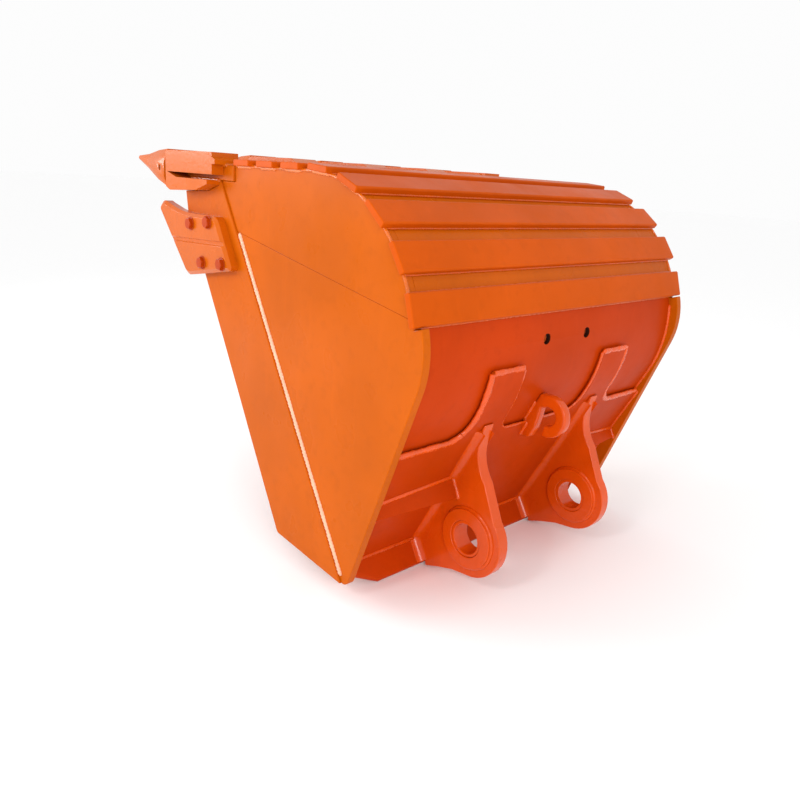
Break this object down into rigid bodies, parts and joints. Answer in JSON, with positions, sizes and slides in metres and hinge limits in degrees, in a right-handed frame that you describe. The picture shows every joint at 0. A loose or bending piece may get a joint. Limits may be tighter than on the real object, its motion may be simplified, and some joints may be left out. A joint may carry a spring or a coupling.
{
  "type": "excavator bucket",
  "caption": "Heavy digging bucket for an excavator: curved shell with wear strips, pinned teeth on a lip, bolted side protectors and two bored hinge ears.",
  "frame": {"origin": "middle of the ear pin axis, half-way between the two ears", "axes": "+X along the ear pin axis, which is the bucket's width; +Y from the back plate towards the teeth, along the floor plate; +Z out of the floor plate's wear face, so the bucket hangs mouth down"},
  "size_m": [1.644, 1.748, 1.465],
  "materials": {
    "orange_enamel": "glossy enamel over welded plate",
    "shaded_orange_enamel": "glossy enamel, deeper red-orange",
    "wear_strip_enamel": "glossy enamel over rolled bar",
    "pin_steel": "dull steel"
  },
  "bodies": {
    "bucket": {"floor_and_heel_plate": "orange_enamel", "side_plate_lower_left": "orange_enamel", "side_plate_lower_right": "orange_enamel", "side_plate_upper_left": "orange_enamel", "side_plate_upper_right": "orange_enamel", "side_bar_left": "orange_enamel", "side_bar_right": "orange_enamel", "lip_plate": "orange_enamel", "tooth_adapter_1": "orange_enamel", "tooth_adapter_2": "orange_enamel", "tooth_adapter_3": "orange_enamel", "tooth_adapter_4": "orange_enamel", "tooth_adapter_5": "orange_enamel", "tooth_1": "orange_enamel", "tooth_2": "orange_enamel", "tooth_3": "orange_enamel", "tooth_4": "orange_enamel", "tooth_5": "orange_enamel", "side_protector_left": "orange_enamel", "side_protector_right": "orange_enamel", "protector_bolt_left_1": "orange_enamel", "protector_bolt_left_2": "orange_enamel", "protector_bolt_left_3": "orange_enamel", "protector_bolt_left_4": "orange_enamel", "protector_bolt_right_1": "orange_enamel", "protector_bolt_right_2": "orange_enamel", "protector_bolt_right_3": "orange_enamel", "protector_bolt_right_4": "orange_enamel", "ear_left": "orange_enamel", "ear_right": "orange_enamel", "ear_boss_left_outer": "orange_enamel", "ear_boss_left_inner": "orange_enamel", "ear_boss_right_outer": "orange_enamel", "ear_boss_right_inner": "orange_enamel", "lifting_hook": "orange_enamel", "back_plate": "shaded_orange_enamel", "hinge_doubler_plate": "shaded_orange_enamel", "hinge_rim_bar": "shaded_orange_enamel", "hinge_rib_left": "shaded_orange_enamel", "hinge_rib_right": "shaded_orange_enamel", "ear_bush_left": "shaded_orange_enamel", "ear_bush_right": "shaded_orange_enamel", "wear_strip_1": "wear_strip_enamel", "wear_strip_2": "wear_strip_enamel", "wear_strip_3": "wear_strip_enamel", "wear_strip_4": "wear_strip_enamel", "wear_strip_5": "wear_strip_enamel", "wear_strip_6": "wear_strip_enamel", "wear_strip_7": "wear_strip_enamel", "wear_strip_8": "wear_strip_enamel"},
    "tooth_pin_1": {"tooth_pin_1": "pin_steel"},
    "tooth_pin_2": {"tooth_pin_2": "pin_steel"},
    "tooth_pin_3": {"tooth_pin_3": "pin_steel"},
    "tooth_pin_4": {"tooth_pin_4": "pin_steel"},
    "tooth_pin_5": {"tooth_pin_5": "pin_steel"}
  },
  "joints": [
    {"name": "tooth_pin_1_slide", "type": "slide", "parent": "bucket", "child": "tooth_pin_1", "axis": [-1, 0, 0], "range_m": [0, 0.16]},
    {"name": "tooth_pin_2_slide", "type": "slide", "parent": "bucket", "child": "tooth_pin_2", "axis": [-1, 0, 0], "range_m": [0, 0.16]},
    {"name": "tooth_pin_3_slide", "type": "slide", "parent": "bucket", "child": "tooth_pin_3", "axis": [-1, 0, 0], "range_m": [0, 0.16]},
    {"name": "tooth_pin_4_slide", "type": "slide", "parent": "bucket", "child": "tooth_pin_4", "axis": [1, 0, 0], "range_m": [0, 0.16]},
    {"name": "tooth_pin_5_slide", "type": "slide", "parent": "bucket", "child": "tooth_pin_5", "axis": [1, 0, 0], "range_m": [0, 0.16]}
  ]
}
